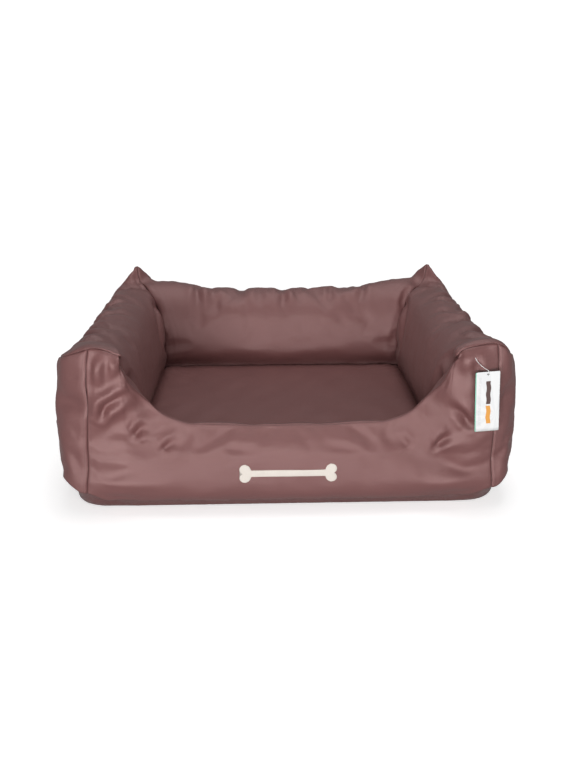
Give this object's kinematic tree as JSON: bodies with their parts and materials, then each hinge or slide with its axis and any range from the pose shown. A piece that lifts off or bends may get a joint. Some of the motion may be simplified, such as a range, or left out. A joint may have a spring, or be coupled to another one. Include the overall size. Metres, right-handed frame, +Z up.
{
  "type": "pet cushion bed",
  "caption": "Rectangular bolster bed for a pet: stuffed side and back walls, a low dipped front wall and a loose zipped cushion on a fabric base.",
  "frame": {"origin": "centre of the bed's underside, on the floor", "axes": "+X to the right across the bed's width, +Y to the back bolster, +Z up; the low entry wall faces -Y"},
  "size_m": [0.8, 0.6433, 0.3245],
  "materials": {
    "cover_fabric": "satin",
    "cushion_fabric": "matte",
    "base_fabric": "matte",
    "lining_fabric": "matte",
    "polyester_fibre": "matte",
    "foam": "matte",
    "zip_tape": "matte",
    "zip_metal": "satin",
    "embroidery_thread": "satin",
    "tag_card": "satin",
    "tag_nylon": "gloss"
  },
  "bodies": {
    "bed": {"base_panel": "base_fabric", "floor_wadding": "polyester_fibre", "floor_lining": "lining_fabric", "front_panel": "cover_fabric", "front_inner_panel": "cover_fabric", "left_outer_panel": "cover_fabric", "left_inner_panel": "cover_fabric", "right_outer_panel": "cover_fabric", "right_inner_panel": "cover_fabric", "back_outer_panel": "cover_fabric", "back_inner_panel": "cover_fabric", "left_filling": "polyester_fibre", "right_filling": "polyester_fibre", "back_filling": "polyester_fibre", "front_filling": "polyester_fibre", "cover_zip_upper": "zip_tape", "cover_zip_lower": "zip_tape", "front_emblem": "embroidery_thread"},
    "cover_zip_slider": {"cover_zip_slider": "zip_metal"},
    "cover_zip_pull": {"cover_zip_pull": "zip_metal"},
    "cushion": {"cushion_top_panel": "cushion_fabric", "cushion_border": "cushion_fabric", "cushion_bottom_panel": "cushion_fabric", "cushion_foam": "foam", "cushion_zip_upper": "zip_tape", "cushion_zip_lower": "zip_tape"},
    "cushion_zip_slider": {"cushion_zip_slider": "zip_metal"},
    "cushion_zip_pull": {"cushion_zip_pull": "zip_metal"},
    "tag_pin": {"tag_pin": "tag_nylon"},
    "hang_tag": {"hang_tag": "tag_card"}
  },
  "joints": [
    {"name": "cushion_lift", "type": "slide", "parent": "bed", "child": "cushion", "axis": [0, 0, 1], "range_m": [0, 0.32]},
    {"name": "cover_zip_slide", "type": "slide", "parent": "bed", "child": "cover_zip_slider", "axis": [1, 0, 0], "range_m": [-0.578, 0]},
    {"name": "cover_zip_hinge", "type": "hinge", "parent": "cover_zip_slider", "child": "cover_zip_pull", "pos_m": [0.289, 0.30754, 0.0295], "axis": [1, 0, 0], "range_deg": [0, 150]},
    {"name": "cushion_zip_slide", "type": "slide", "parent": "cushion", "child": "cushion_zip_slider", "axis": [1, 0, 0], "range_m": [-0.438, 0]},
    {"name": "cushion_zip_hinge", "type": "hinge", "parent": "cushion_zip_slider", "child": "cushion_zip_pull", "pos_m": [0.219, 0.1952, 0.0533], "axis": [1, 0, 0], "range_deg": [0, 10]},
    {"name": "tag_pin_hinge", "type": "hinge", "parent": "bed", "child": "tag_pin", "pos_m": [0.313, -0.3038, 0.296], "axis": [-1, 0, 0], "range_deg": [0, 60]},
    {"name": "hang_tag_hinge", "type": "hinge", "parent": "tag_pin", "child": "hang_tag", "pos_m": [0.338, -0.326, 0.261], "axis": [-1, 0, 0], "range_deg": [0, 50]}
  ]
}
